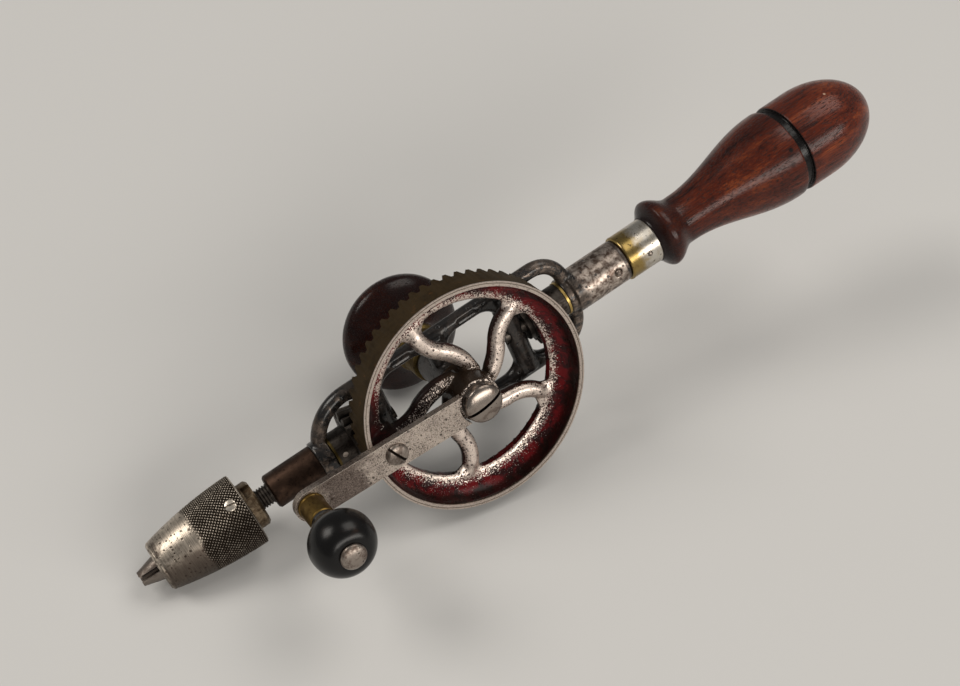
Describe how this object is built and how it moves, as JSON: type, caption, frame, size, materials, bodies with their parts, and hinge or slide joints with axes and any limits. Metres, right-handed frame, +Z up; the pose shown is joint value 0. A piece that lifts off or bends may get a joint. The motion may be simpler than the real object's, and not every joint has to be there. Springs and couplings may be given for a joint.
{
  "type": "hand drill",
  "caption": "Eggbeater hand drill: a crank wheel with bevel teeth drives a spindle with a three-jaw chuck in an iron frame with a wooden handle and side knob.",
  "frame": {"origin": "on the floor under the middle of the drill's box as it lies at rest", "axes": "+X along the drill from the chuck to the main handle, +Y away from the crank side, +Z up"},
  "size_m": [0.353, 0.1216, 0.1054],
  "materials": {
    "japan": "black japan worn to brown and bare iron on the edges",
    "bronze": "brown bronze with a dull patina",
    "steel": "turned and cut steel, oiled",
    "dull_steel": "dull steel",
    "pin_steel": "bare steel, softly polished",
    "washer_brass": "dull brass",
    "ferrule_brass": "brass with worn nickel",
    "side_brass": "tarnished brass",
    "collar_brass": "brass",
    "rosewood": "polished rosewood",
    "dark_rosewood": "dark polished rosewood",
    "red_japan": "red japan worn to speckled bare iron, tarnished rim",
    "arm_steel": "bright steel with pits and brown stain",
    "screw_steel": "polished slotted heads",
    "washer_steel": "dark steel",
    "black_lacquer": "black lacquered wood, glossy",
    "worn_nickel": "nickel plate worn to brown steel",
    "collar_nickel": "worn nickel plate"
  },
  "bodies": {
    "frame": {"frame": "japan", "front_bearing": "bronze", "axle_stud": "steel", "idler_shaft": "steel", "idler_washer": "washer_brass", "handle_tang": "steel", "socket_pin": "pin_steel", "ferrule": "ferrule_brass", "ferrule_pin": "pin_steel", "main_handle": "rosewood", "hub_washer": "washer_steel", "hub_screw": "screw_steel", "side_stud": "steel", "side_ferrule": "side_brass", "side_knob": "dark_rosewood"},
    "crank": {"drive_wheel": "red_japan", "crank_arm": "arm_steel", "crank_screw": "screw_steel", "crank_pin": "pin_steel", "crank_collar": "collar_brass"},
    "crank_grip": {"crank_knob": "black_lacquer"},
    "spindle": {"spindle": "steel", "pinion": "steel", "pinion_pin": "steel", "thrust_washer": "washer_brass", "chuck_body": "collar_nickel"},
    "chuck_shell": {"chuck_shell": "worn_nickel", "chuck_screw": "screw_steel"},
    "jaw_1": {"jaw_1": "dull_steel"},
    "jaw_2": {"jaw_2": "dull_steel"},
    "jaw_3": {"jaw_3": "dull_steel"},
    "idler": {"idler_pinion": "steel"},
    "handle_cap": {"handle_cap": "rosewood"}
  },
  "joints": [
    {"name": "crank_turn", "type": "hinge", "parent": "frame", "child": "crank", "pos_m": [-0.03637, 0.0033, 0.04111], "axis": [-0.0841, -0.931, 0.3551], "continuous": true},
    {"name": "spindle_spin", "type": "hinge", "parent": "frame", "child": "spindle", "pos_m": [-0.03637, 0.0033, 0.04111], "axis": [0.9731, 0, 0.2304], "continuous": true},
    {"name": "idler_spin", "type": "hinge", "parent": "frame", "child": "idler", "pos_m": [-0.03637, 0.0033, 0.04111], "axis": [0.9731, 0, 0.2304], "continuous": true},
    {"name": "grip_spin", "type": "hinge", "parent": "crank", "child": "crank_grip", "pos_m": [-0.11577, -0.04179, 0.04489], "axis": [-0.0841, -0.931, 0.3551], "continuous": true},
    {"name": "chuck_shell_turn", "type": "hinge", "parent": "spindle", "child": "chuck_shell", "pos_m": [-0.12913, 0.0033, 0.01915], "axis": [0.9731, 0, 0.2304], "range_deg": [-1080, 1440]},
    {"name": "jaw_1_slide", "type": "slide", "parent": "spindle", "child": "jaw_1", "axis": [0.8972, 0.0843, 0.4335], "range_m": [-0.0049, 0.0065]},
    {"name": "jaw_2_slide", "type": "slide", "parent": "spindle", "child": "jaw_2", "axis": [0.9547, -0.2285, 0.1905], "range_m": [-0.0049, 0.0065]},
    {"name": "jaw_3_slide", "type": "slide", "parent": "spindle", "child": "jaw_3", "axis": [0.9884, 0.1442, 0.0484], "range_m": [-0.0049, 0.0065]},
    {"name": "handle_cap_pull", "type": "slide", "parent": "frame", "child": "handle_cap", "axis": [0.9731, 0, 0.2304], "range_m": [0, 0.06]}
  ],
  "couplings": [
    {"joint": "spindle_spin", "follows": "crank_turn", "ratio": 4},
    {"joint": "idler_spin", "follows": "crank_turn", "ratio": -4},
    {"joint": "jaw_1_slide", "follows": "chuck_shell_turn", "m_per_rad": 0.00025465},
    {"joint": "jaw_2_slide", "follows": "chuck_shell_turn", "m_per_rad": 0.00025465},
    {"joint": "jaw_3_slide", "follows": "chuck_shell_turn", "m_per_rad": 0.00025465}
  ]
}
